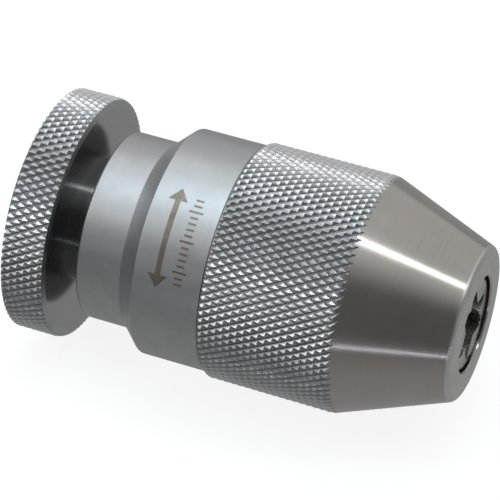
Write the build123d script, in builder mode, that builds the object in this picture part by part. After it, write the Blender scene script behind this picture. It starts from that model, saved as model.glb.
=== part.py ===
from build123d import *
import math
import os

# A keyless precision drill chuck for round shanks up to 6.5 mm, lying on its side.
# Its axis is X. The taper socket opens at X = 0, and the nose points along +X.
# Turning the sleeve turns the jaw guide and the spindle with it, so the spindle screws
# through the body's left-hand thread and pushes the three jaws down their inclined bores.
# The jaws are drawn part open. Outlines are points of (X, radius), in millimetres.

# knurled holding ring at the rear
ring_radius = 18.05
ring_bevel_radius = 15.75
ring_bevel = 0.9
ring_width = 7.2
ring_face_radius = 16.65
ring_face_edge = 0.1
ring_seat_radius = 8.9

# body: hub, bearing flange and threaded boss
hub_radius = 9.35
hub_bore_chamfer = 0.4
flange_start = 24.2
flange_end = 26.4
flange_radius = 13.8
boss_radius = 9.38
boss_end = 38.3
thread_radius = 4.5
thread_bore_start = 19.2
thread_clearance = 0.05

# Jacobs taper No. 1 socket, and the plug behind it
taper_mouth_radius = 4.877
taper_end_radius = 4.2345
taper_length = 16.67
socket_end = 17.6
plug_radius = 3.0
plug_thickness = 1.2

# sleeve: neck, 45 degree shoulder and band
neck_start = 10.6
neck_end = 17.4
neck_radius = 13.95
neck_chamfer = 0.3
band_start = 20.4
band_radius = 16.85
sleeve_bore_radius = 9.42
bearing_shoulder = 19.0
bearing_bore_radius = 14.0
sleeve_bore_chamfer = 0.5

# hood: knurled cylinder, cone and nose
parting = 30.6
hood_radius = 17.5
hood_edge = 0.5
cone_start = 49.6
cone_angle = 21.0
nose = 65.95
nose_fillet = 1.1
mouth_radius = 7.0
mouth_chamfer = 0.25
hood_bore_radius = 15.35

# jaw guide
guide_start = 27.0
spigot_radius = 15.0
guide_radius = 15.32
guide_taper_end = 62.5
guide_front = 65.4
guide_front_radius = 6.6
cavity_radius = 9.45
cavity_end = 55.8
shank_hole_radius = 3.5
cone_gap = 0.08

# jaws and their motion
capacity = 6.5
rest_opening = 6.0
jaw_angle = 17.0
jaw_radius = 3.25
jaw_length = 23.5
jaw_tip_proud = -0.5
grip_length = 9.5
wedge_half_angle = 60.0
flank_relief = 0.06
tip_chamfer = 0.35
jaw_clearance = 0.06
first_jaw_turn = -44.0
jaw_count = 3

# T-shaped foot of a jaw, and the spindle head's slots round it
foot_length = 1.8
foot_half_width = 2.6
neck_length = 1.95
neck_half_width = 1.5
slot_clearance = 0.1
head_radius = 9.3
head_back = 1.85
slot_inner_end = 2.8
shank_length = 18.8

# thrust bearing
shim_thickness = 0.2
race_inner_radius = 10.2
race_thickness = 1.6
ball_radius = 1.25
ball_track_radius = 12.0
ball_play = 0.05
ball_count = 22
cage_thickness = 1.4
cage_inner_radius = 10.35
cage_outer_radius = 13.65

# seals, washer and pins
fit_gap = 0.02
felt_start = 12.0
felt_width = 1.6
felt_groove_radius = 11.4
drag_ring_x = 17.0
drag_ring_thickness = 0.85
drag_groove_half_width = 1.0
hood_seal_x = 32.4
hood_seal_thickness = 0.58
hood_groove_half_width = 0.75
washer_thickness = 0.5
washer_inner_radius = 10.2
washer_outer_radius = 13.6
pin_radius = 0.75
pin_length = 3.0
pin_count = 3

# worked out from the sizes above
cone_slope = math.tan(math.radians(cone_angle))
jaw_slope = math.tan(math.radians(jaw_angle))
jaw_cosine = math.cos(math.radians(jaw_angle))
rest_grip_radius = rest_opening / 2
tip_x = nose + jaw_tip_proud
jaw_rear = tip_x - jaw_length
rear_opening_travel = (capacity - rest_opening) / 2 / jaw_slope
bore_start = jaw_rear - rear_opening_travel - 0.3
head_start = jaw_rear - head_back
head_end = jaw_rear + foot_length + neck_length - slot_clearance
shim_end = bearing_shoulder + shim_thickness
rear_race_end = shim_end + race_thickness
front_race_start = flange_start - race_thickness
ball_x = (rear_race_end + front_race_start) / 2
drag_ring_radius = sleeve_bore_radius - fit_gap - drag_ring_thickness
hood_seal_radius = hood_bore_radius - fit_gap - hood_seal_thickness
beyond = 50.0

pieces = []


def keep(piece, label):
    """Label a finished piece and put it on the list of pieces to write."""
    piece.label = label
    pieces.append(piece)


def rod_axis_radius(x):
    """Distance from the chuck's axis to a jaw rod's own axis, at a place along X."""
    at_tip = rest_grip_radius + jaw_radius / jaw_cosine - grip_length * jaw_slope
    return at_tip + (tip_x - x) * jaw_slope


def hood_inner_radius(x):
    """Radius of the hood's inner cone at a place along X."""
    return mouth_radius + (nose - x) * cone_slope


def flat_ring(start, end, inner, outer):
    """A plain washer between two places along X."""
    with BuildPart() as washer:
        with BuildSketch(Plane.YZ.offset(start)):
            Circle(outer)
            Circle(inner, mode=Mode.SUBTRACT)
        extrude(amount=end - start)
    return washer.part


def round_ring(x, radius, thickness):
    """A ring of round section, such as a rubber O-ring."""
    with BuildPart() as ring:
        with BuildSketch(Plane.XY):
            with Locations((x, radius)):
                Circle(thickness)
        revolve(axis=Axis.X)
    return ring.part


def grooved_race(start, end):
    """One washer of the thrust bearing, with the balls' track turned into it."""
    with BuildPart() as race:
        with BuildSketch(Plane.XY):
            with BuildLine():
                Polyline(
                    (start, race_inner_radius),
                    (end, race_inner_radius),
                    (end, flange_radius),
                    (start, flange_radius),
                    close=True,
                )
            make_face()
            with Locations((ball_x, ball_track_radius)):
                Circle(ball_radius + ball_play, mode=Mode.SUBTRACT)
        revolve(axis=Axis.X)
    return race.part


def jaw_rod(radius, start, end):
    """An inclined round rod with its ends cut square to the chuck's axis, above the axis."""
    foot = start - radius
    run = (end - start + 2 * radius) / jaw_cosine
    slant = Plane(origin=(foot, 0, rod_axis_radius(foot)), z_dir=(1, 0, -jaw_slope))
    with BuildPart() as rod:
        with BuildSketch(slant):
            Circle(radius)
        extrude(amount=run)
        split(bisect_by=Plane.YZ.offset(start), keep=Keep.TOP)
        split(bisect_by=Plane.YZ.offset(end), keep=Keep.BOTTOM)
    return rod.part


# body
with BuildPart() as body:
    with BuildSketch(Plane.XY):
        with BuildLine():
            Polyline(
                (0, taper_mouth_radius + hub_bore_chamfer),
                (0, ring_seat_radius),
                (ring_width, ring_seat_radius),
                (ring_width, hub_radius),
                (drag_ring_x - drag_groove_half_width, hub_radius),
                (drag_ring_x - drag_groove_half_width, drag_ring_radius - drag_ring_thickness),
                (drag_ring_x + drag_groove_half_width, drag_ring_radius - drag_ring_thickness),
                (drag_ring_x + drag_groove_half_width, hub_radius),
                (flange_start, hub_radius),
                (flange_start, flange_radius),
                (flange_end, flange_radius),
                (flange_end, boss_radius),
                (boss_end, boss_radius),
                (boss_end, thread_radius + thread_clearance),
                (thread_bore_start, thread_radius + thread_clearance),
                (thread_bore_start, plug_radius),
                (socket_end, plug_radius),
                (socket_end, taper_end_radius),
                (taper_length, taper_end_radius),
                (hub_bore_chamfer, taper_mouth_radius),
                close=True,
            )
        make_face()
    revolve(axis=Axis.X)
    front_edges = body.edges().filter_by(GeomType.CIRCLE).group_by(Axis.X)[-1]
    chamfer(front_edges, length=hub_bore_chamfer)
keep(body.part, "body")

# steel plug between the taper socket and the thread
with BuildPart() as body_plug:
    with BuildSketch(Plane.YZ.offset(socket_end + hub_bore_chamfer / 2)):
        Circle(plug_radius - fit_gap)
    extrude(amount=plug_thickness)
keep(body_plug.part, "body_plug")

# knurled holding ring, pressed on the body
with BuildPart() as body_ring:
    with BuildSketch(Plane.XY):
        with BuildLine():
            Polyline(
                (0, ring_seat_radius + fit_gap),
                (0, ring_bevel_radius),
                (ring_bevel, ring_radius),
                (ring_width - ring_face_edge, ring_radius),
                (ring_width, ring_face_radius),
                (ring_width, ring_seat_radius + fit_gap),
                close=True,
            )
        make_face()
    revolve(axis=Axis.X)
keep(body_ring.part, "body_ring")

# sleeve
with BuildPart() as sleeve:
    with BuildSketch(Plane.XY):
        with BuildLine():
            Polyline(
                (neck_start, sleeve_bore_radius + sleeve_bore_chamfer),
                (neck_start, neck_radius - neck_chamfer),
                (neck_start + neck_chamfer, neck_radius),
                (neck_end, neck_radius),
                (band_start, band_radius),
                (parting, band_radius),
                (parting, spigot_radius + fit_gap),
                (guide_start, spigot_radius + fit_gap),
                (guide_start, bearing_bore_radius),
                (bearing_shoulder, bearing_bore_radius),
                (bearing_shoulder, sleeve_bore_radius),
                (felt_start + felt_width, sleeve_bore_radius),
                (felt_start + felt_width, felt_groove_radius),
                (felt_start, felt_groove_radius),
                (felt_start, sleeve_bore_radius),
                (neck_start + sleeve_bore_chamfer, sleeve_bore_radius),
                close=True,
            )
        make_face()
    revolve(axis=Axis.X)
    with BuildSketch(Plane.YZ.offset(parting)):
        with PolarLocations(spigot_radius, pin_count):
            Circle(pin_radius + fit_gap)
    extrude(amount=-pin_length - fit_gap, mode=Mode.SUBTRACT)
keep(sleeve.part, "sleeve")

# hood: its outline is closed along the inner cone and the bore
with BuildPart() as hood:
    with BuildSketch(Plane.XY):
        with BuildLine():
            Polyline(
                (parting, hood_bore_radius),
                (parting, hood_radius - hood_edge),
                (parting + hood_edge, hood_radius),
                (cone_start, hood_radius),
                (nose, hood_radius - (nose - cone_start) * cone_slope),
                (nose, mouth_radius),
                (nose - (hood_bore_radius - mouth_radius) / cone_slope, hood_bore_radius),
                close=True,
            )
        make_face()
    revolve(axis=Axis.X)
    nose_edges = hood.edges().filter_by(GeomType.CIRCLE).group_by(Axis.X)[-1].sort_by(SortBy.RADIUS)
    fillet(nose_edges[-1], radius=nose_fillet)
    mouth_edges = hood.edges().filter_by(GeomType.CIRCLE).group_by(Axis.X)[-1].sort_by(SortBy.RADIUS)
    chamfer(mouth_edges[0], length=mouth_chamfer)
keep(hood.part, "hood")

# jaw guide
with BuildPart() as jaw_guide:
    with BuildSketch(Plane.XY):
        with BuildLine():
            Polyline(
                (guide_start, cavity_radius),
                (guide_start, spigot_radius),
                (parting, spigot_radius),
                (parting, guide_radius),
                (hood_seal_x - hood_groove_half_width, guide_radius),
                (hood_seal_x - hood_groove_half_width, hood_seal_radius - hood_seal_thickness - fit_gap),
                (hood_seal_x + hood_groove_half_width, hood_seal_radius - hood_seal_thickness - fit_gap),
                (hood_seal_x + hood_groove_half_width, guide_radius),
                (nose - (guide_radius + cone_gap - mouth_radius) / cone_slope, guide_radius),
                (guide_taper_end, hood_inner_radius(guide_taper_end) - cone_gap),
                (guide_front, guide_front_radius),
                (guide_front, shank_hole_radius),
                (cavity_end, shank_hole_radius),
                (cavity_end, cavity_radius),
                close=True,
            )
        make_face()
    revolve(axis=Axis.X)
    jaw_bore = jaw_rod(jaw_radius + jaw_clearance, bore_start, guide_front + 1)
    for number in range(jaw_count):
        turn = first_jaw_turn + number * 360 / jaw_count
        add(jaw_bore.rotate(Axis.X, turn), mode=Mode.SUBTRACT)
    with BuildSketch(Plane.YZ.offset(parting)):
        with PolarLocations(spigot_radius, pin_count):
            Circle(pin_radius + fit_gap)
    extrude(amount=-pin_length - fit_gap, mode=Mode.SUBTRACT)
keep(jaw_guide.part, "jaw_guide")

# spindle: left-hand screw, drawn at its outer diameter, with a slotted head
with BuildPart() as spindle:
    with BuildSketch(Plane.XY):
        with BuildLine():
            Polyline(
                (head_start - shank_length, 0),
                (head_start - shank_length, thread_radius - hub_bore_chamfer),
                (head_start - shank_length + hub_bore_chamfer, thread_radius),
                (head_start, thread_radius),
                (head_start, head_radius),
                (head_end, head_radius),
                (head_end, 0),
                close=True,
            )
        make_face()
    revolve(axis=Axis.X)
    slot_length = head_radius - slot_inner_end + 1
    slot_middle = slot_inner_end + slot_length / 2
    foot_front = jaw_rear + foot_length + slot_clearance
    for number in range(jaw_count):
        turn = first_jaw_turn + 90 + number * 360 / jaw_count
        with BuildSketch(Plane.YZ.offset(foot_front)):
            with PolarLocations(slot_middle, 1, start_angle=turn):
                Rectangle(slot_length, 2 * (neck_half_width + slot_clearance))
        extrude(amount=neck_length, mode=Mode.SUBTRACT)
        with BuildSketch(Plane.YZ.offset(foot_front)):
            with PolarLocations(slot_middle, 1, start_angle=turn):
                Rectangle(slot_length, 2 * (foot_half_width + slot_clearance))
        extrude(amount=-foot_length - 2 * slot_clearance, mode=Mode.SUBTRACT)
keep(spindle.part, "spindle")

# jaws: the first is made above the axis, and each is turned to its own bore
with BuildPart() as jaw:
    add(jaw_rod(jaw_radius, jaw_rear, tip_x))
    wedge_slope = math.tan(math.radians(90 - wedge_half_angle))
    wedge_edge = rest_grip_radius + flank_relief
    with BuildSketch(Plane.YZ.offset(tip_x)):
        with BuildLine():
            Polyline(
                (0, wedge_edge),
                (beyond, wedge_edge + beyond * wedge_slope),
                (beyond, -beyond),
                (-beyond, -beyond),
                (-beyond, wedge_edge + beyond * wedge_slope),
                close=True,
            )
        make_face()
    extrude(amount=-jaw_length, mode=Mode.SUBTRACT)
    with BuildSketch(Plane.XY):
        for side in (1, -1):
            with BuildLine():
                Polyline(
                    (jaw_rear, side * foot_half_width),
                    (jaw_rear + foot_length, side * foot_half_width),
                    (jaw_rear + foot_length, side * neck_half_width),
                    (jaw_rear + foot_length + neck_length, side * neck_half_width),
                    (jaw_rear + foot_length + neck_length, side * beyond),
                    (jaw_rear, side * beyond),
                    close=True,
                )
            make_face()
    extrude(amount=beyond, mode=Mode.SUBTRACT)
    tip_edges = jaw.edges().group_by(Axis.X)[-1].filter_by(GeomType.LINE, reverse=True)
    chamfer(tip_edges, length=tip_chamfer)
for number in range(jaw_count):
    turn = first_jaw_turn + number * 360 / jaw_count
    keep(jaw.part.rotate(Axis.X, turn), f"jaw_{number + 1}")

# thrust bearing between the sleeve's shoulder and the body's flange
keep(
    flat_ring(bearing_shoulder, shim_end, race_inner_radius, flange_radius),
    "bearing_shim",
)
keep(grooved_race(shim_end, rear_race_end), "rear_race")
keep(grooved_race(front_race_start, flange_start), "front_race")

with BuildPart(Plane.YZ.offset(ball_x)) as bearing_balls:
    with PolarLocations(ball_track_radius, ball_count):
        Sphere(ball_radius)
keep(bearing_balls.part, "bearing_balls")

with BuildPart() as ball_cage:
    with BuildSketch(Plane.YZ.offset(ball_x - cage_thickness / 2)):
        Circle(cage_outer_radius)
        Circle(cage_inner_radius, mode=Mode.SUBTRACT)
        with PolarLocations(ball_track_radius, ball_count):
            Circle(ball_radius + ball_play, mode=Mode.SUBTRACT)
    extrude(amount=cage_thickness)
keep(ball_cage.part, "ball_cage")

# washer, seals and pins
washer_start = (flange_end + guide_start - washer_thickness) / 2
keep(
    flat_ring(washer_start, washer_start + washer_thickness, washer_inner_radius, washer_outer_radius),
    "thrust_washer",
)
keep(
    flat_ring(
        felt_start + fit_gap,
        felt_start + felt_width - fit_gap,
        hub_radius + fit_gap,
        felt_groove_radius - fit_gap,
    ),
    "felt_seal",
)
keep(round_ring(drag_ring_x, drag_ring_radius, drag_ring_thickness - fit_gap), "drag_ring")
keep(round_ring(hood_seal_x, hood_seal_radius, hood_seal_thickness), "hood_seal")

with BuildPart() as drive_pins:
    with BuildSketch(Plane.YZ.offset(parting - fit_gap)):
        with PolarLocations(spigot_radius, pin_count):
            Circle(pin_radius)
    extrude(amount=-pin_length + 2 * fit_gap)
keep(drive_pins.part, "drive_pins")

os.makedirs("parts", exist_ok=True)
for piece in pieces:
    export_step(piece, f"parts/{piece.label}.step")
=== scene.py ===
"""Looks for a keyless precision drill chuck lying on its side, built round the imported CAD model.

The chuck's axis is X: the knurled holding ring is at the rear and the nose points along +X.
Sizes of the chuck's pieces are in millimetres and become metres when a mesh is made.
Angles round the axis are measured from +Y towards +Z.
"""

import math

import bmesh
import bpy
from mathutils import Matrix, Vector


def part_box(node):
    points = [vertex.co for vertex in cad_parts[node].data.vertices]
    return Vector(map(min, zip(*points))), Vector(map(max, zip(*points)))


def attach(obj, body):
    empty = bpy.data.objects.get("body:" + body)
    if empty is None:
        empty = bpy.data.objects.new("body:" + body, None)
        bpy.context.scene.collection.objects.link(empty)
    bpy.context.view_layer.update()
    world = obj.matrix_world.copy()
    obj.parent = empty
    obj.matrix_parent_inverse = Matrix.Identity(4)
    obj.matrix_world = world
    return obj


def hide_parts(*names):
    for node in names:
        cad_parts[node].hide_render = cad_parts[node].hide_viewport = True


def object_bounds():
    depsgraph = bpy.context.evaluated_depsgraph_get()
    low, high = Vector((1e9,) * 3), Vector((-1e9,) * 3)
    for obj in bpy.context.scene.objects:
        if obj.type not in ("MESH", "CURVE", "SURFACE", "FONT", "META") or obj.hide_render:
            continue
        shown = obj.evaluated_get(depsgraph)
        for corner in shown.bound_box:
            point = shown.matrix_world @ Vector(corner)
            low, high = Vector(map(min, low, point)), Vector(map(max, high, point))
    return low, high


MM = 0.001

# fineness of the round pieces
SEGMENTS = 288
ARC_STEPS = 5

# knurls: two crossing families of V grooves, one deep and one shallow
# each profile gives the share of the full height at shares of the spacing
DEEP_GROOVES = {
    0.0: 0.0,
    0.07: 0.06,
    0.16: 0.28,
    0.45: 0.97,
    0.55: 0.97,
    0.84: 0.28,
    0.93: 0.06,
    1.0: 0.0,
}
SHALLOW_GROOVES = {0.0: 0.20, 0.07: 0.28, 0.45: 0.97, 0.55: 0.97, 0.93: 0.28, 1.0: 0.20}
HOOD_KNURL = {"count": 91, "pitch": 2.088, "depth": 0.40}
RING_KNURL = {"count": 93, "pitch": 2.13, "depth": 0.40}

# distances below which two points count as one, or a point counts as on a bevel
CUT_DISTANCE = 1e-6
FLAT_MERGE = 1e-3
ROUND_MERGE = 2e-3
ON_BEVEL = 2e-3

# hood: the joins are the widths of the strips between the knurl's edges and the turned surfaces
CONE_START = 49.6
CONE_SLOPE = math.tan(math.radians(21.0))
NOSE_ROUNDING = 1.1
MOUTH_RADIUS = 7.0
MOUTH_EDGE = 0.25
HOOD_EDGE = 0.5
HOOD_BORE = 15.35
HOOD_REAR_JOIN = 0.15
KNURL_RUN_OUT = 0.15
CONE_JOIN = 0.2

# holding ring: the setbacks are from its rear or front face, and the drop is from its crests
RING_BEVEL = 0.9
RING_BEVEL_RADIUS = 15.75
RING_FACE_RADIUS = 16.65
RING_SEAT_RADIUS = 8.92
RING_KNURL_BACK = 0.62
RING_KNURL_FRONT = 0.1
RING_LIP = 0.25
RING_LIP_SLOPE = -1.4
RING_RIM_SETBACK = 0.06
RING_RIM_DROP = 0.62
RING_BACK_JOIN = 0.5

# sleeve
NECK_RADIUS = 13.95
NECK_END = 17.4
BAND_START = 20.4
SLEEVE_BORE = 9.42
FELT_GROOVE = 11.4
FELT_PLAY = 0.02
BEARING_BORE = 14.0
SPIGOT_BORE = 15.02
PARTING_GROOVE = 0.11
PARTING_DEPTH = 0.35

# marks etched on the sleeve's band: an arrow pointing both ways round, and a scale
# turns round the band are in degrees; an arrow head is (half its width, its length in degrees)
MARK_PROUD = 0.008
MARK_SUNK = 0.02
MARK_TIP = 0.02
MARK_STEP = 1.5
ARROW_X = 23.9
ARROW_ENDS = (108, 158)
ARROW_HALF_WIDTH = 0.42
ARROW_HEAD = (1.45, 6.5)
SCALE_X = 27.0
SCALE_TURNS = range(112, 155, 3)
SCALE_LINE = 0.32
LONG_LINE = 2.1
SHORT_LINE = 1.2
LONG_EVERY = 5
LONG_FIRST = 2

# materials: stains, grain, patches and the scratch scale are in bumps of noise per millimetre
TURN_STRETCH = 0.12
TURN_STAINS = 0.09
TURN_GRAIN = 9.0
KNURL_GRAIN = 6.0
KNURL_GRAIN_DEPTH = 0.012
KNURL_PATCHES = 0.25
KNURL_PATCH_WEAR = 0.08
SCRATCH_SCALE = 0.9
SCRATCH_STRETCH = (0.2, 1.0, 1.0)
SCRATCH_WIDTH = 0.015
SCRATCH_WEAR = 0.25

# floor, in metres: the grey card that the metal sees brightens towards +Y
# CARD_FADE is (lowest Y, highest Y, glow at the lowest, glow at the highest)
FLOOR_HALF = 3.0
FLOOR_COLOUR = (0.26, 0.26, 0.26, 1)
FLOOR_GLOW = 0.86
CARD_FADE = (-0.12, 0.02, 0.13, 0.30)
WHITE = (1, 1, 1, 1)

# room: dark on the camera's side, and brightest in this direction
# ROOM_FADE is (lowest lean that way, highest lean, glow at the lowest, glow at the highest)
BRIGHT_SIDE = (-0.42, 0.52, 0.74)
ROOM_FADE = (0.0, 0.5, 0.13, 0.62)

# lights: azimuth, elevation, width and height in degrees, radiance, colour, distance in metres
LIGHTS = {
    "left_box": (195, 42, 56, 30, 1.0, (0.93, 0.98, 1.0)),
    "back_top": (112, 52, 40, 24, 0.45, (0.90, 0.96, 1.0)),
    "zenith": (180, 85, 35, 20, 2.4, (0.68, 0.87, 1.0)),
    "front_low": (245, 18, 44, 22, 0.2),
    "right_low": (5, 14, 60, 20, 0.2),
    "strip": (12, 63, 4.4, 60, 4.0),
    "front_edge": (-64, -6.5, 100, 0.8, 4.0, (0.80, 0.84, 1.0), 0.1),
}

# camera: its azimuth is measured from -Y towards +X
# its distance and aim are in millimetres, and its clip distances are in metres
CAMERA_AZIMUTH = 21.866
CAMERA_ELEVATION = 43.82
CAMERA_DISTANCE = 403.5
CAMERA_LENS = 202.4
CAMERA_SENSOR = 36.0
CAMERA_CLIP = (0.01, 20.0)
CAMERA_AIM = (31.48, 0.90, 1.46)

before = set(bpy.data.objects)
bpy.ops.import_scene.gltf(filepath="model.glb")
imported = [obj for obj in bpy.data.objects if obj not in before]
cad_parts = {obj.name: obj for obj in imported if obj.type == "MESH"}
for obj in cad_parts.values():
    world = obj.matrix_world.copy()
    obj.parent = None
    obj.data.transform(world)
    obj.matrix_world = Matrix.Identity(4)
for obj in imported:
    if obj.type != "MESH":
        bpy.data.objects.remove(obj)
cad_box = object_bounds()
chuck_middle = (cad_box[0] + cad_box[1]) / 2


def box_mm(node):
    """Rear and front ends and outer radius of a round CAD node, in millimetres."""
    low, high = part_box(node)
    return low.x / MM, high.x / MM, high.z / MM


ring_back, ring_front, ring_radius = box_mm("body_ring")
sleeve_back, parting, band_radius = box_mm("sleeve")
hood_back, nose, hood_radius = box_mm("hood")
guide_back, _, _ = box_mm("jaw_guide")
felt_back, felt_front, _ = box_mm("felt_seal")
shim_back, _, _ = box_mm("bearing_shim")


# meshes

def rounded_outline(corners):
    """Stations round a closed outline: (point, normal arriving, normal leaving, finish).

    Each corner is (x, radius, rounding, finish); the outside of the metal is on the left.
    """
    stations = []
    points = [Vector(corner[:2]) for corner in corners]
    for number, (_, _, rounding, finish) in enumerate(corners):
        here = points[number]
        arriving = (here - points[number - 1]).normalized()
        leaving = (points[(number + 1) % len(points)] - here).normalized()
        before = Vector((-arriving.y, arriving.x))
        after = Vector((-leaving.y, leaving.x))
        if rounding == 0:
            stations.append((here, before, after, finish))
            continue
        half_turn = arriving.angle(leaving) / 2
        start = here - arriving * rounding * math.tan(half_turn)
        convex = arriving.x * leaving.y - arriving.y * leaving.x < 0
        side = 1 if convex else -1
        centre = start - before * rounding * side
        middle = (before + after).normalized()
        for step in range(ARC_STEPS + 1):
            share = step / ARC_STEPS
            turn = (2 * share - 1) * half_turn * -side
            normal = Vector((
                middle.x * math.cos(turn) - middle.y * math.sin(turn),
                middle.x * math.sin(turn) + middle.y * math.cos(turn),
            ))
            stations.append((centre + normal * rounding * side, normal, normal, finish))
    return stations


def with_normal(station, normal):
    """The same station, with one normal on both sides."""
    point, _, _, finish = station
    return point, normal, normal, finish


class RoundMesh:
    """Collects the vertices, faces and exact normals of one piece turned about the X axis."""

    def __init__(self):
        self.vertices = []
        self.faces = []
        self.normals = []
        self.finishes = []

    def circle(self, x, radius, angles):
        """Adds a circle of vertices and returns it as a list of (index, angle)."""
        first = len(self.vertices)
        for angle in angles:
            self.vertices.append((x, radius * math.cos(angle), radius * math.sin(angle)))
        return [(first + number, angle) for number, angle in enumerate(angles)]

    def face(self, corners, finish):
        """Adds a face from (index, angle, outline normal) corners."""
        self.faces.append([corner[0] for corner in corners])
        for _, angle, normal in corners:
            self.normals.append((normal.x, normal.y * math.cos(angle), normal.y * math.sin(angle)))
        self.finishes.append(finish)

    def band(self, first, second, first_normal, second_normal, finish):
        """Joins two circles that have the same number of vertices, with four-sided faces."""
        for number in range(len(first)):
            following = (number + 1) % len(first)
            self.face(
                [
                    (*first[number], first_normal),
                    (*first[following], first_normal),
                    (*second[following], second_normal),
                    (*second[number], second_normal),
                ],
                finish,
            )

    def stitch(self, first, second, normal, finish):
        """Joins two circles whose vertices stand at different angles, with triangles."""
        steps = [(angle, 0) for _, angle in first[1:]] + [(angle, 1) for _, angle in second[1:]]
        steps = sorted(steps) + [(2 * math.pi, 0), (2 * math.pi, 1)]
        place = [0, 0]
        for _, side in steps:
            here = first[place[0] % len(first)]
            there = second[place[1] % len(second)]
            place[side] += 1
            moved = (first, second)[side]
            ahead = moved[place[side] % len(moved)]
            self.face([(*here, normal), (*ahead, normal), (*there, normal)], finish)

    def turned(self, stations, start=None, end=None):
        """Turns an outline. It is closed, or runs between the circles start and end."""
        angles = [2 * math.pi * number / SEGMENTS for number in range(SEGMENTS)]
        circles = [self.circle(point.x, point.y, angles) for point, _, _, _ in stations]
        for number in range(len(stations) - 1):
            self.band(
                circles[number],
                circles[number + 1],
                stations[number][2],
                stations[number + 1][1],
                stations[number][3],
            )
        if start is None:
            self.band(
                circles[-1], circles[0], stations[-1][2], stations[0][1], stations[-1][3]
            )
        else:
            self.stitch(start, circles[0], stations[0][1], stations[0][3])
            self.stitch(circles[-1], end, stations[-1][2], stations[-1][3])

    def piece(self, name, materials):
        """Makes the Blender object."""
        mesh = bpy.data.meshes.new(name)
        mesh.from_pydata([[c * MM for c in v] for v in self.vertices], [], self.faces)
        for material in materials:
            mesh.materials.append(material)
        mesh.polygons.foreach_set("material_index", self.finishes)
        mesh.polygons.foreach_set("use_smooth", [True] * len(self.faces))
        mesh.normals_split_custom_set(self.normals)
        piece = bpy.data.objects.new(name, mesh)
        bpy.context.scene.collection.objects.link(piece)
        return piece


def cut(strip, point, normal, drop):
    """Cuts the flat strip with a plane, and drops what lies beyond it if asked."""
    bmesh.ops.bisect_plane(
        strip,
        geom=strip.verts[:] + strip.edges[:] + strip.faces[:],
        dist=CUT_DISTANCE,
        plane_co=point,
        plane_no=normal,
        clear_outer=drop,
    )


def knurled_strip(radius, count, pitch, depth, start, end, bevels):
    """The knurled surface laid flat, as a bmesh of (arc length, x, radius).

    Each bevel is an (x, radius, slope) line that the crests are turned down to.
    """
    points = []
    faces = []
    deep_rows, shallow_rows = len(DEEP_GROOVES), len(SHALLOW_GROOVES)
    for column in range(count):
        for row in range(math.floor(2 * start / pitch) - 1, math.ceil(2 * end / pitch) + 2):
            first = len(points)
            for along, deep_height in DEEP_GROOVES.items():
                for across, shallow_height in SHALLOW_GROOVES.items():
                    turn = (2 * column - row + along + across) * math.pi / count
                    x = (row + along - across) * pitch / 2
                    height = min(deep_height, shallow_height)
                    points.append((turn * radius, x, radius + (height - 1) * depth))
            for u in range(deep_rows - 1):
                for v in range(shallow_rows - 1):
                    a = first + u * shallow_rows + v
                    b, c, d = a + shallow_rows, a + shallow_rows + 1, a + 1
                    if (2 * u < deep_rows - 1) == (2 * v < shallow_rows - 1):
                        faces += [(a, b, c), (a, c, d)]
                    else:
                        faces += [(a, b, d), (b, c, d)]
    flat = bpy.data.meshes.new("flat_knurl")
    flat.from_pydata(points, [], faces)
    strip = bmesh.new()
    strip.from_mesh(flat)
    bpy.data.meshes.remove(flat)
    bmesh.ops.remove_doubles(strip, verts=strip.verts[:], dist=FLAT_MERGE)
    cut(strip, (0, start, 0), (0, -1, 0), True)
    cut(strip, (0, end, 0), (0, 1, 0), True)
    for x, bevel_radius, slope in bevels:
        cut(strip, (0, x, bevel_radius), (0, -slope, 1), False)
        for vertex in strip.verts:
            vertex.co.z = min(vertex.co.z, bevel_radius + (vertex.co.y - x) * slope)
    return strip


def bevel_normal(face, bevels):
    """The outline's normal on the bevel that a wrapped face lies on, or None."""
    for x, bevel_radius, slope in bevels:
        heights = [
            math.hypot(vertex.co.y, vertex.co.z) - bevel_radius - (vertex.co.x - x) * slope
            for vertex in face.verts
        ]
        if max(abs(height) for height in heights) < ON_BEVEL:
            return Vector((-slope, 1)).normalized()
    return None


def add_knurl(made, radius, count, pitch, depth, start, end, bevels, finishes):
    """Wraps a knurled strip round a RoundMesh and returns its rear and front edges as circles.

    finishes are those of the knurl and of its bevels.
    """
    strip = knurled_strip(radius, count, pitch, depth, start, end, bevels)
    for vertex in strip.verts:
        turn, x, height = vertex.co.x / radius, vertex.co.y, vertex.co.z
        vertex.co = (x, height * math.cos(turn), height * math.sin(turn))
    bmesh.ops.remove_doubles(strip, verts=strip.verts[:], dist=ROUND_MERGE)
    bmesh.ops.recalc_face_normals(strip, faces=strip.faces[:])
    strip.verts.index_update()
    first = len(made.vertices)
    angles = {}
    edges = {start: [], end: []}
    for vertex in strip.verts:
        made.vertices.append(tuple(vertex.co))
        angles[vertex.index] = math.atan2(vertex.co.z, vertex.co.y) % (2 * math.pi)
        if vertex.is_boundary:
            edges[start if vertex.co.x < (start + end) / 2 else end].append(vertex.index)
    for face in strip.faces:
        middle = face.calc_center_median()
        if face.normal.y * middle.y + face.normal.z * middle.z < 0:
            face.normal_flip()
        bevel = bevel_normal(face, bevels)
        made.faces.append([first + vertex.index for vertex in face.verts])
        made.finishes.append(finishes[0] if bevel is None else finishes[1])
        for vertex in face.verts:
            if bevel is None:
                made.normals.append(tuple(face.normal))
            else:
                angle = angles[vertex.index]
                made.normals.append(
                    (bevel.x, bevel.y * math.cos(angle), bevel.y * math.sin(angle))
                )
    strip.free()
    return [
        [(first + index, angles[index]) for index in sorted(edges[edge], key=angles.get)]
        for edge in (start, end)
    ]


# materials

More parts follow.
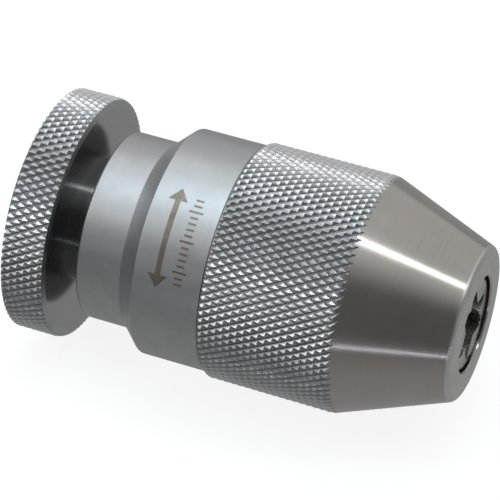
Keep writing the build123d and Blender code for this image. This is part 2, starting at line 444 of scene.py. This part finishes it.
class NodeTree:
    """Short ways to add and join shader nodes in one tree."""

    def __init__(self, owner):
        owner.use_nodes = True
        self.tree = owner.node_tree
        self.tree.nodes.clear()

    def node(self, kind, inputs=(), **settings):
        """Adds a node, with its inputs given as (name or number, value or socket)."""
        made = self.tree.nodes.new(kind)
        for key, value in settings.items():
            setattr(made, key, value)
        for key, value in inputs:
            if isinstance(value, bpy.types.NodeSocket):
                self.tree.links.new(value, made.inputs[key])
            else:
                made.inputs[key].default_value = value
        return made

    def math(self, operation, first, second=0.0, third=0.0):
        """A number worked out from up to three others."""
        inputs = ((0, first), (1, second), (2, third))
        return self.node("ShaderNodeMath", inputs, operation=operation).outputs[0]

    def math_vector(self, operation, first, second, result="Vector"):
        """A vector, or a value if that is the result named, worked out from two vectors."""
        inputs = ((0, first), (1, second))
        made = self.node("ShaderNodeVectorMath", inputs, operation=operation)
        return made.outputs[result]

    def vector(self, x, y, z):
        """A vector from three numbers."""
        return self.node("ShaderNodeCombineXYZ", ((0, x), (1, y), (2, z))).outputs[0]

    def noise(self, place, scale, detail, roughness=0.5):
        """Noise from 0 to 1."""
        inputs = (
            ("Vector", place),
            ("Scale", scale),
            ("Detail", detail),
            ("Roughness", roughness),
        )
        return self.node("ShaderNodeTexNoise", inputs).outputs["Fac"]

    def spread(self, value, low, high, out_low=0.0, out_high=1.0, kind="LINEAR"):
        """Maps a range of numbers to another, held at its ends."""
        inputs = (("Value", value), (1, low), (2, high), (3, out_low), (4, out_high))
        return self.node("ShaderNodeMapRange", inputs, interpolation_type=kind).outputs[0]

    def mixed(self, factor, first, second):
        """A colour between two others."""
        inputs = ((0, factor), (6, first), (7, second))
        return self.node("ShaderNodeMix", inputs, data_type="RGBA").outputs[2]

    def seen_or_lit(self, output, lit, seen):
        """Ends the tree: the camera sees one shader, and the metal is lit by the other."""
        path = self.node("ShaderNodeLightPath")
        inputs = ((0, path.outputs["Is Camera Ray"]), (1, lit), (2, seen))
        mix = self.node("ShaderNodeMixShader", inputs)
        self.node(output, (("Surface", mix.outputs[0]),))


class Surface(NodeTree):
    """The nodes of one material of the chuck."""

    def __init__(self, name):
        self.material = bpy.data.materials.new(name)
        super().__init__(self.material)
        self.shader = self.node("ShaderNodeBsdfPrincipled")
        self.node("ShaderNodeOutputMaterial", (("Surface", self.shader.outputs[0]),))
        coordinates = self.node("ShaderNodeTexCoord").outputs["Object"]
        self.place = self.math_vector("MULTIPLY", coordinates, (1 / MM,) * 3)

    def axis_place(self):
        """Place along the axis, distance from it and angle round it, as three numbers."""
        x, y, z = self.node("ShaderNodeSeparateXYZ", ((0, self.place),)).outputs
        squares = self.math("ADD", self.math("MULTIPLY", y, y), self.math("MULTIPLY", z, z))
        return x, self.math("SQRT", squares), self.math("ARCTAN2", z, y)

    def set(self, **values):
        """Sets or links the shader's inputs."""
        for key, value in values.items():
            socket = self.shader.inputs[key.replace("_", " ")]
            if isinstance(value, bpy.types.NodeSocket):
                self.tree.links.new(value, socket)
            else:
                socket.default_value = value

    def bump(self, height, distance, normal=None):
        """A bump of this depth, in millimetres."""
        inputs = [("Height", height), ("Distance", distance * MM), ("Strength", 1.0)]
        if normal is not None:
            inputs.append(("Normal", normal))
        return self.node("ShaderNodeBump", inputs).outputs[0]


def turned_metal(name, light, dark, roughness, marks, mark_depth, grain_depth, anisotropy=0.0):
    """Metal turned on a lathe: fine marks run round the axis, with faint stains and grain.

    marks is the number of turning marks per millimetre.
    """
    made = Surface(name)
    x, radius, angle = made.axis_place()
    along_marks = made.vector(x, radius, made.math("MULTIPLY", angle, TURN_STRETCH))
    round_marks = made.noise(along_marks, marks, detail=4.0, roughness=0.6)
    grain = made.noise(made.place, TURN_GRAIN, detail=3.0, roughness=0.6)
    stains = made.noise(made.place, TURN_STAINS, detail=4.0, roughness=0.55)
    shade = made.math(
        "ADD", made.math("MULTIPLY", round_marks, 0.5), made.math("MULTIPLY", stains, 0.5)
    )
    uneven = made.math("ADD", grain, stains)
    made.set(
        Base_Color=made.mixed(made.spread(shade, 0.36, 0.64), dark, light),
        Metallic=1.0,
        Roughness=made.spread(uneven, 0.7, 1.3, roughness * 0.88, roughness * 1.12),
        Anisotropic=anisotropy,
        Anisotropic_Rotation=0.25,
        Normal=made.bump(grain, grain_depth, made.bump(round_marks, mark_depth)),
    )
    if anisotropy:
        tangent = made.node("ShaderNodeTangent", direction_type="RADIAL", axis="X")
        made.set(Tangent=tangent.outputs[0])
    return made.material


def knurled_metal(name, light, dark, roughness, top_radius, depth):
    """Knurled satin metal: the base colour is lighter on the crests and darker down in the grooves
    as painted shade, and real patches of wear shift it.
    """
    made = Surface(name)
    _, radius, _ = made.axis_place()
    # painted shade: the base colour darkens with depth from the crests into the grooves
    groove_shade = made.spread(radius, top_radius - depth, top_radius)
    grain = made.noise(made.place, KNURL_GRAIN, detail=4.0, roughness=0.65)
    patches = made.noise(made.place, KNURL_PATCHES, detail=4.0, roughness=0.55)
    patch_wear = made.spread(patches, 0.3, 0.7, -KNURL_PATCH_WEAR, KNURL_PATCH_WEAR)
    # painted groove shade plus real patches of wear
    shade_and_wear = made.math("ADD", groove_shade, patch_wear)
    uneven = made.math("ADD", shade_and_wear, grain)
    made.set(
        Base_Color=made.mixed(made.spread(shade_and_wear, 0.0, 0.6), dark, light),
        Metallic=1.0,
        Roughness=made.spread(uneven, 0.3, 1.6, roughness * 1.25, roughness * 0.8),
        Normal=made.bump(grain, KNURL_GRAIN_DEPTH),
    )
    return made.material


def plain_metal(name, light, dark, roughness, grain_depth, scale=1.6):
    """Ground or bead-blasted metal with stains, light scratches and grain."""
    made = Surface(name)
    grain = made.noise(made.place, scale * 5, detail=3.0, roughness=0.6)
    stains = made.noise(made.place, scale * 0.25, detail=5.0, roughness=0.6)
    long_place = made.math_vector("MULTIPLY", made.place, SCRATCH_STRETCH)
    lines = made.noise(long_place, SCRATCH_SCALE, detail=2.0)
    off_line = made.math("ABSOLUTE", made.math("SUBTRACT", lines, 0.5))
    smooth = made.spread(off_line, 0.0, SCRATCH_WIDTH)
    polish = made.math("ADD", stains, made.math("MULTIPLY", smooth, SCRATCH_WEAR))
    made.set(
        Base_Color=made.mixed(made.spread(stains, 0.35, 0.65), dark, light),
        Metallic=1.0,
        Roughness=made.spread(polish, 0.5, 0.95, roughness * 1.25, roughness * 0.85),
        Normal=made.bump(grain, grain_depth),
    )
    return made.material


def soft_material(name, light, dark, roughness, fibre_scale, fibre_depth, sheen=0.0):
    """Felt or rubber."""
    made = Surface(name)
    fibres = made.noise(made.place, fibre_scale, detail=5.0, roughness=0.7)
    made.set(
        Base_Color=made.mixed(made.spread(fibres, 0.35, 0.65), dark, light),
        Roughness=made.spread(fibres, 0.3, 0.7, roughness * 1.05, roughness * 0.9),
        Sheen_Weight=sheen,
        Normal=made.bump(fibres, fibre_depth),
    )
    return made.material


satin = plain_metal(
    "satin_chrome", (0.625, 0.63, 0.635, 1), (0.585, 0.59, 0.595, 1),
    roughness=0.35, grain_depth=0.0035, scale=1.8,
)
cone_steel = turned_metal(
    "turned_steel", (0.635, 0.595, 0.56, 1), (0.585, 0.55, 0.515, 1),
    roughness=0.22, marks=7.0, mark_depth=0.0004, grain_depth=0.0005, anisotropy=0.8,
)
face_steel = turned_metal(
    "polished_face", (0.57, 0.57, 0.57, 1), (0.51, 0.51, 0.515, 1),
    roughness=0.20, marks=6.0, mark_depth=0.0008, grain_depth=0.0003, anisotropy=0.85,
)
hood_knurl_metal = knurled_metal(
    "hood_knurl", (0.80, 0.81, 0.82, 1), (0.27, 0.275, 0.28, 1),
    roughness=0.27, top_radius=hood_radius, depth=HOOD_KNURL["depth"],
)
ring_knurl_metal = knurled_metal(
    "ring_knurl", (0.80, 0.81, 0.82, 1), (0.27, 0.275, 0.28, 1),
    roughness=0.27, top_radius=ring_radius, depth=RING_KNURL["depth"],
)
# painted shade: the body's hub sits in the gap between the ring and the sleeve and is kept near
# black, so it and its mirror image in the ring's face read as shade
gap_shade_steel = turned_metal(
    "gap_shade_body_steel", (0.20, 0.20, 0.20, 1), (0.14, 0.14, 0.145, 1),
    roughness=0.15, marks=4.0, mark_depth=0.001, grain_depth=0.001,
)
hardened = turned_metal(
    "hardened_steel", (0.70, 0.70, 0.69, 1), (0.60, 0.60, 0.59, 1),
    roughness=0.22, marks=4.0, mark_depth=0.001, grain_depth=0.001,
)
nose_steel = plain_metal(
    "ground_nose", (0.80, 0.80, 0.78, 1), (0.75, 0.75, 0.73, 1),
    roughness=0.28, grain_depth=0.0004,
)
etched = plain_metal(
    "etched_oxide", (0.35, 0.31, 0.26, 1), (0.25, 0.22, 0.185, 1),
    roughness=0.45, grain_depth=0.003,
)
# painted shade: near-black metal for the sleeve's rear face and the parting groove, where shade
# falls
painted_shade_metal = turned_metal(
    "painted_shade_face", (0.10, 0.10, 0.10, 1), (0.06, 0.06, 0.06, 1),
    roughness=0.4, marks=4.0, mark_depth=0.001, grain_depth=0.001,
)
jaw_metal = plain_metal(
    "ground_jaw_steel", (0.76, 0.76, 0.74, 1), (0.64, 0.64, 0.62, 1),
    roughness=0.26, grain_depth=0.001,
)
bearing_metal = plain_metal(
    "bearing_steel", (0.66, 0.66, 0.67, 1), (0.56, 0.56, 0.57, 1),
    roughness=0.14, grain_depth=0.0005,
)
bronze_metal = plain_metal(
    "bronze", (0.62, 0.42, 0.20, 1), (0.44, 0.28, 0.13, 1),
    roughness=0.32, grain_depth=0.003,
)
felt_cloth = soft_material(
    "felt", (0.32, 0.30, 0.27, 1), (0.16, 0.15, 0.13, 1),
    roughness=0.95, fibre_scale=4.0, fibre_depth=0.08, sheen=0.4,
)
rubber = soft_material(
    "black_rubber", (0.022, 0.022, 0.023, 1), (0.010, 0.010, 0.011, 1),
    roughness=0.55, fibre_scale=3.0, fibre_depth=0.006,
)
NODE_MATERIALS = {
    "body": gap_shade_steel,
    "body_plug": gap_shade_steel,
    "spindle": hardened,
    "drive_pins": hardened,
    "jaw_guide": hardened,
    "jaw_1": jaw_metal,
    "jaw_2": jaw_metal,
    "jaw_3": jaw_metal,
    "bearing_shim": bearing_metal,
    "rear_race": bearing_metal,
    "front_race": bearing_metal,
    "bearing_balls": bearing_metal,
    "ball_cage": bronze_metal,
    "thrust_washer": bronze_metal,
    "felt_seal": felt_cloth,
    "drag_ring": rubber,
    "hood_seal": rubber,
}


def dress_nodes():
    """Gives each CAD node that stays its finished material."""
    for name, material in NODE_MATERIALS.items():
        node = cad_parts[name]
        node.data.materials.clear()
        node.data.materials.append(material)


# hood

def cone_radius(x):
    """Radius of the hood's cone."""
    return hood_radius - (x - CONE_START) * CONE_SLOPE


def build_hood():
    """Knurled hood with its turned cone, as one closed mesh."""
    made = RoundMesh()
    knurled, turned, ground = range(3)
    knurl_end = CONE_START + HOOD_KNURL["depth"] / CONE_SLOPE + KNURL_RUN_OUT
    rear, front = add_knurl(
        made,
        hood_radius,
        start=hood_back,
        end=knurl_end,
        bevels=[
            (hood_back, hood_radius - HOOD_EDGE, 1.0),
            (CONE_START, hood_radius, -CONE_SLOPE),
        ],
        finishes=(knurled, turned),
        **HOOD_KNURL,
    )
    bore_front = nose - (HOOD_BORE - MOUTH_RADIUS) / CONE_SLOPE
    corners = [
        (knurl_end + CONE_JOIN, cone_radius(knurl_end + CONE_JOIN), 0, turned),
        (nose, cone_radius(nose), NOSE_ROUNDING, ground),
        (nose, MOUTH_RADIUS + MOUTH_EDGE, 0.1, turned),
        (nose - MOUTH_EDGE, MOUTH_RADIUS + MOUTH_EDGE * CONE_SLOPE, 0, turned),
        (bore_front, HOOD_BORE, 0, turned),
        (hood_back, HOOD_BORE, 0.2, turned),
        (hood_back, hood_radius - HOOD_EDGE - HOOD_REAR_JOIN, 0, turned),
    ]
    stations = rounded_outline(corners)
    stations[0] = with_normal(stations[0], Vector((CONE_SLOPE, 1)).normalized())
    stations[-1] = with_normal(stations[-1], Vector((-1, 0)))
    made.turned(stations, start=front, end=rear)
    hood = made.piece("knurled_hood", [hood_knurl_metal, cone_steel, nose_steel])
    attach(hood, "sleeve_group")
    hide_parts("hood")


# holding ring

def build_ring():
    """Knurled holding ring with its satin rim and polished turned face."""
    made = RoundMesh()
    knurled, plain, polished = range(3)
    bevel_slope = (ring_radius - RING_BEVEL_RADIUS) / RING_BEVEL
    rear, front = add_knurl(
        made,
        ring_radius,
        start=ring_back + RING_KNURL_BACK,
        end=ring_front - RING_KNURL_FRONT,
        bevels=[
            (ring_back + RING_BEVEL, ring_radius, bevel_slope),
            (ring_front - RING_LIP, ring_radius, RING_LIP_SLOPE),
        ],
        finishes=(knurled, plain),
        **RING_KNURL,
    )
    back_join = RING_BEVEL_RADIUS + RING_BACK_JOIN * bevel_slope
    corners = [
        (ring_front - RING_RIM_SETBACK, ring_radius - RING_RIM_DROP, 0, plain),
        (ring_front, RING_FACE_RADIUS, 0, polished),
        (ring_front, RING_SEAT_RADIUS, 0.15, plain),
        (ring_back, RING_SEAT_RADIUS, 0.3, plain),
        (ring_back, RING_BEVEL_RADIUS, 0.2, plain),
        (ring_back + RING_BACK_JOIN, back_join, 0, plain),
    ]
    stations = rounded_outline(corners)
    stations[0] = with_normal(stations[0], Vector((1, 0)))
    stations[-1] = with_normal(stations[-1], Vector((-bevel_slope, 1)).normalized())
    made.turned(stations, start=front, end=rear)
    ring = made.piece("holding_ring", [ring_knurl_metal, satin, face_steel])
    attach(ring, "chuck_body")
    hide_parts("body_ring")


# sleeve

def build_sleeve():
    """Satin sleeve: neck, 45 degree shoulder, band, and the dark groove where it meets the hood;
    its rear face and the groove's rear wall and floor are painted shade.
    """
    made = RoundMesh()
    # the second finish is painted shade, near black
    plain, dark = range(2)
    corners = [
        # the rear face is painted shade, so the ring's polished face mirrors it dark
        (sleeve_back, SLEEVE_BORE, 0.3, dark),
        (sleeve_back, NECK_RADIUS, 0.45, plain),
        (NECK_END, NECK_RADIUS, 0.12, plain),
        (BAND_START, band_radius, 0.14, plain),
        # the groove's rear wall and floor are painted shade
        (parting - PARTING_GROOVE, band_radius, 0.05, dark),
        (parting - PARTING_GROOVE, band_radius - PARTING_DEPTH, 0, dark),
        (parting, band_radius - PARTING_DEPTH, 0, plain),
        (parting, SPIGOT_BORE, 0.1, plain),
        (guide_back, SPIGOT_BORE, 0, plain),
        (guide_back, BEARING_BORE, 0, plain),
        (shim_back, BEARING_BORE, 0, plain),
        (shim_back, SLEEVE_BORE, 0, plain),
        (felt_front + FELT_PLAY, SLEEVE_BORE, 0, plain),
        (felt_front + FELT_PLAY, FELT_GROOVE, 0, plain),
        (felt_back - FELT_PLAY, FELT_GROOVE, 0, plain),
        (felt_back - FELT_PLAY, SLEEVE_BORE, 0, plain),
    ]
    made.turned(rounded_outline(corners))
    sleeve = made.piece("satin_sleeve", [satin, painted_shade_metal])
    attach(sleeve, "sleeve_group")
    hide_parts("sleeve")


# etched marks

def bar(x, half_width, start, end):
    """Outline of a straight mark across x, between two turns round the band."""
    left, right = x - half_width, x + half_width
    return [(left, start), (right, start), (right, end), (left, end)]


def add_mark(made, outline):
    """Adds a thin plate bent round the band, from a convex outline of (x, angle in degrees)."""
    low, high = min(turn for _, turn in outline), max(turn for _, turn in outline)
    rows = math.ceil((high - low) / MARK_STEP)
    outside, inside = band_radius + MARK_PROUD, band_radius - MARK_SUNK
    rings = []
    for number in range(rows + 1):
        turn = low + (high - low) * number / rows
        crossings = []
        for (x, angle), (next_x, next_angle) in zip(outline, outline[1:] + outline[:1]):
            if min(angle, next_angle) <= turn <= max(angle, next_angle) and angle != next_angle:
                crossings.append(x + (next_x - x) * (turn - angle) / (next_angle - angle))
        half_width = max(max(crossings) - min(crossings), MARK_TIP) / 2
        centre = (min(crossings) + max(crossings)) / 2
        left, right = centre - half_width, centre + half_width
        section = ((left, outside), (right, outside), (right, inside), (left, inside))
        angles = [math.radians(turn)]
        rings.append([made.circle(x, radius, angles)[0] for x, radius in section])
    outward = Vector((0, 1))
    sides = (
        (outward, 0, 1),
        (Vector((1, 0)), 1, 2),
        (Vector((0, -1)), 2, 3),
        (Vector((-1, 0)), 3, 0),
    )
    for here, ahead in zip(rings, rings[1:]):
        for normal, a, b in sides:
            corners = (here[a], ahead[a], ahead[b], here[b])
            made.face([(*corner, normal) for corner in corners], 0)
    for end in (rings[0], rings[-1][::-1]):
        made.face([(*corner, outward) for corner in end], 0)


def build_marks():
    """The etched marks, as thin closed plates."""
    made = RoundMesh()
    first, last = ARROW_ENDS
    half_width, head_length = ARROW_HEAD
    add_mark(made, bar(ARROW_X, ARROW_HALF_WIDTH, first + head_length, last - head_length))
    for tip, base in ((first, first + head_length), (last, last - head_length)):
        add_mark(made, [(ARROW_X - half_width, base), (ARROW_X + half_width, base), (ARROW_X, tip)])
    half_line = math.degrees(SCALE_LINE / band_radius) / 2
    for number, turn in enumerate(SCALE_TURNS):
        is_long = number % LONG_EVERY == LONG_FIRST
        half_length = (LONG_LINE if is_long else SHORT_LINE) / 2
        add_mark(made, bar(SCALE_X, half_length, turn - half_line, turn + half_line))
    marks = made.piece("etched_marks", [etched])
    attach(marks, "sleeve_group")


# floor, light and camera

def build_floor():
    """Pale floor; the camera sees it bright, and the metal sees it as plain grey card."""
    mesh = bpy.data.meshes.new("floor")
    sides = ((-1, -1), (1, -1), (1, 1), (-1, 1))
    corners = [(x * FLOOR_HALF, y * FLOOR_HALF, cad_box[0].z) for x, y in sides]
    mesh.from_pydata(corners, [], [(0, 1, 2, 3)])
    material = bpy.data.materials.new("floor")
    made = NodeTree(material)
    place = made.node("ShaderNodeTexCoord").outputs["Object"]
    split = made.node("ShaderNodeSeparateXYZ", ((0, place),))
    fade = made.spread(split.outputs["Y"], *CARD_FADE, kind="SMOOTHSTEP")
    card = made.node("ShaderNodeEmission", (("Strength", fade),))
    pale = made.node("ShaderNodeBsdfDiffuse", (("Color", FLOOR_COLOUR),))
    glow = made.node("ShaderNodeEmission", (("Color", WHITE), ("Strength", FLOOR_GLOW)))
    bright = made.node("ShaderNodeAddShader", ((0, pale.outputs[0]), (1, glow.outputs[0])))
    made.seen_or_lit("ShaderNodeOutputMaterial", lit=card.outputs[0], seen=bright.outputs[0])
    mesh.materials.append(material)
    floor = bpy.data.objects.new("floor", mesh)
    bpy.context.scene.collection.objects.link(floor)


def build_world():
    """Soft grey studio, bright above, behind and to the left; the camera sees it white."""
    world = bpy.data.worlds.new("studio")
    bpy.context.scene.world = world
    made = NodeTree(world)
    place = made.node("ShaderNodeTexCoord").outputs["Generated"]
    lean = made.math_vector("DOT_PRODUCT", place, BRIGHT_SIDE, result="Value")
    fade = made.spread(lean, *ROOM_FADE, kind="SMOOTHSTEP")
    room = made.node("ShaderNodeBackground", (("Strength", fade),))
    white = made.node("ShaderNodeBackground", (("Color", WHITE),))
    made.seen_or_lit("ShaderNodeOutputWorld", lit=room.outputs[0], seen=white.outputs[0])


def area_light(name, azimuth, elevation, wide, tall, radiance, colour=(1, 1, 1), distance=0.8):
    """A rectangular soft light seen from the chuck in this direction, filling these angles.

    Azimuth is measured from +X towards +Y, and all angles are in degrees.
    """
    turn, rise = math.radians(azimuth), math.radians(elevation)
    outward = Vector((
        math.cos(turn) * math.cos(rise), math.sin(turn) * math.cos(rise), math.sin(rise)
    ))
    sideways = Vector((-math.sin(turn), math.cos(turn), 0))
    light = bpy.data.lights.new(name, "AREA")
    light.shape = "RECTANGLE"
    light.size = 2 * distance * math.tan(math.radians(wide) / 2)
    light.size_y = 2 * distance * math.tan(math.radians(tall) / 2)
    light.energy = radiance * math.pi * light.size * light.size_y
    light.color = colour
    lamp = bpy.data.objects.new(name, light)
    bpy.context.scene.collection.objects.link(lamp)
    lamp.location = chuck_middle + outward * distance
    lamp.rotation_mode = "QUATERNION"
    axes = Matrix((sideways, outward.cross(sideways), outward)).transposed()
    lamp.rotation_quaternion = axes.to_quaternion()
    lamp.visible_camera = False


def build_camera():
    """The camera, looking along the photograph's line of sight."""
    azimuth, elevation = math.radians(CAMERA_AZIMUTH), math.radians(CAMERA_ELEVATION)
    back = Vector((
        math.sin(azimuth) * math.cos(elevation),
        -math.cos(azimuth) * math.cos(elevation),
        math.sin(elevation),
    ))
    camera_data = bpy.data.cameras.new("camera")
    camera_data.lens = CAMERA_LENS
    camera_data.sensor_width = CAMERA_SENSOR
    camera_data.clip_start, camera_data.clip_end = CAMERA_CLIP
    camera = bpy.data.objects.new("camera", camera_data)
    bpy.context.scene.collection.objects.link(camera)
    camera.location = (Vector(CAMERA_AIM) + back * CAMERA_DISTANCE) * MM
    camera.rotation_mode = "QUATERNION"
    camera.rotation_quaternion = back.to_track_quat("Z", "Y")
    bpy.context.scene.camera = camera


dress_nodes()
build_ring()
build_sleeve()
build_hood()
build_marks()
build_floor()
build_world()
for name, settings in LIGHTS.items():
    area_light(name, *settings)
build_camera()
bpy.context.scene.view_settings.view_transform = "Standard"
